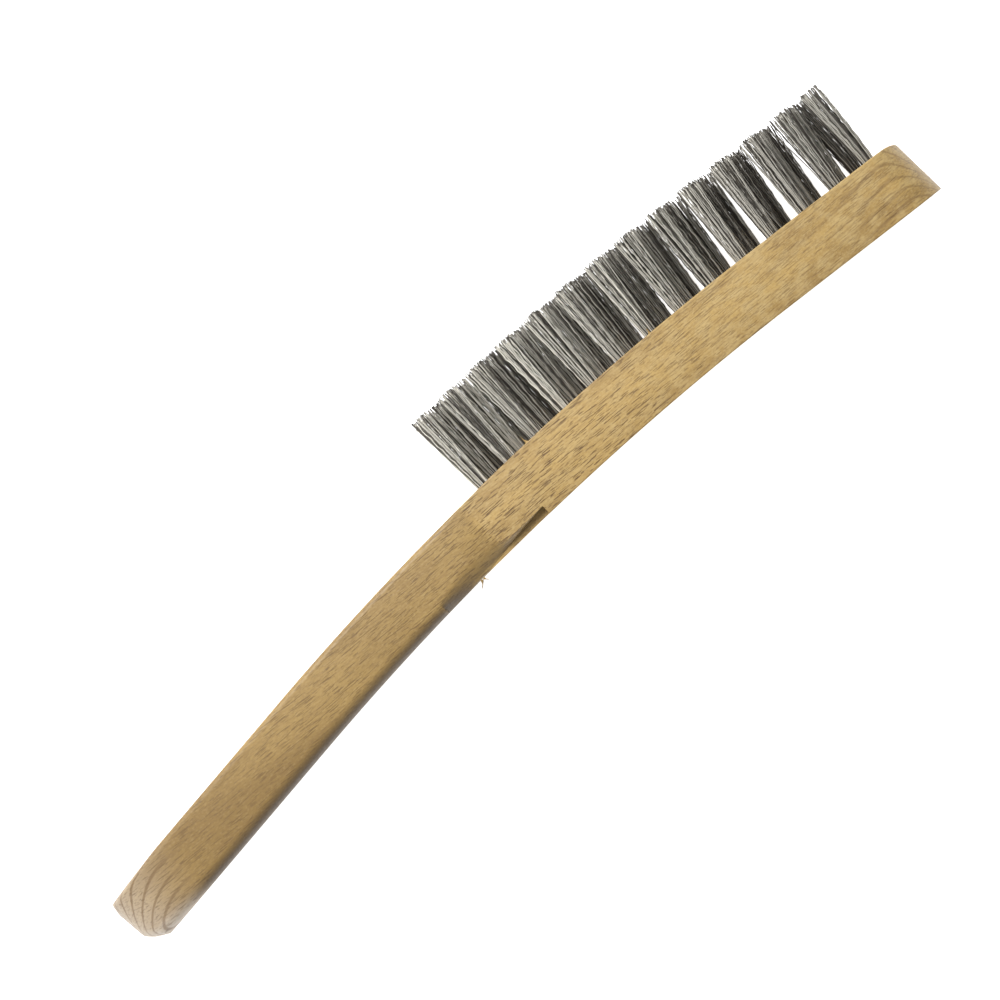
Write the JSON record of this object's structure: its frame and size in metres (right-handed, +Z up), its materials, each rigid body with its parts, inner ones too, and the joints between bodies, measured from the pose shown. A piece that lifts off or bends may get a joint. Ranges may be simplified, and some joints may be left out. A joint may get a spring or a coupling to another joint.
{
  "type": "wire brush",
  "caption": "Hand wire brush with a curved wooden handle and head in one piece, set with staggered rows of steel wire tufts.",
  "frame": {"origin": "centre of the underside of the brush's box, as the brush lies on its flat side", "axes": "+X along the block towards the nose, parallel to it under the middle of the tufts, +Y the way the bristles point, +Z up across the block's width"},
  "size_m": [0.2908, 0.0654, 0.025],
  "materials": {
    "beech": "satin, lightly lacquered, with short dark rays",
    "wire": "crimped steel wire, dull grey with bright glints"
  },
  "bodies": {
    "root": {"block": "beech", "tuft_far_01": "wire", "tuft_far_02": "wire", "tuft_far_03": "wire", "tuft_far_04": "wire", "tuft_far_05": "wire", "tuft_far_06": "wire", "tuft_far_07": "wire", "tuft_far_08": "wire", "tuft_far_09": "wire", "tuft_far_10": "wire", "tuft_far_11": "wire", "tuft_far_12": "wire", "tuft_far_13": "wire", "tuft_middle_01": "wire", "tuft_middle_02": "wire", "tuft_middle_03": "wire", "tuft_middle_04": "wire", "tuft_middle_05": "wire", "tuft_middle_06": "wire", "tuft_middle_07": "wire", "tuft_middle_08": "wire", "tuft_middle_09": "wire", "tuft_middle_10": "wire", "tuft_middle_11": "wire", "tuft_middle_12": "wire", "tuft_middle_13": "wire", "tuft_near_01": "wire", "tuft_near_02": "wire", "tuft_near_03": "wire", "tuft_near_04": "wire", "tuft_near_05": "wire", "tuft_near_06": "wire", "tuft_near_07": "wire", "tuft_near_08": "wire", "tuft_near_09": "wire", "tuft_near_10": "wire", "tuft_near_11": "wire", "tuft_near_12": "wire", "tuft_near_13": "wire", "tuft_near_14": "wire"}
  },
  "joints": []
}
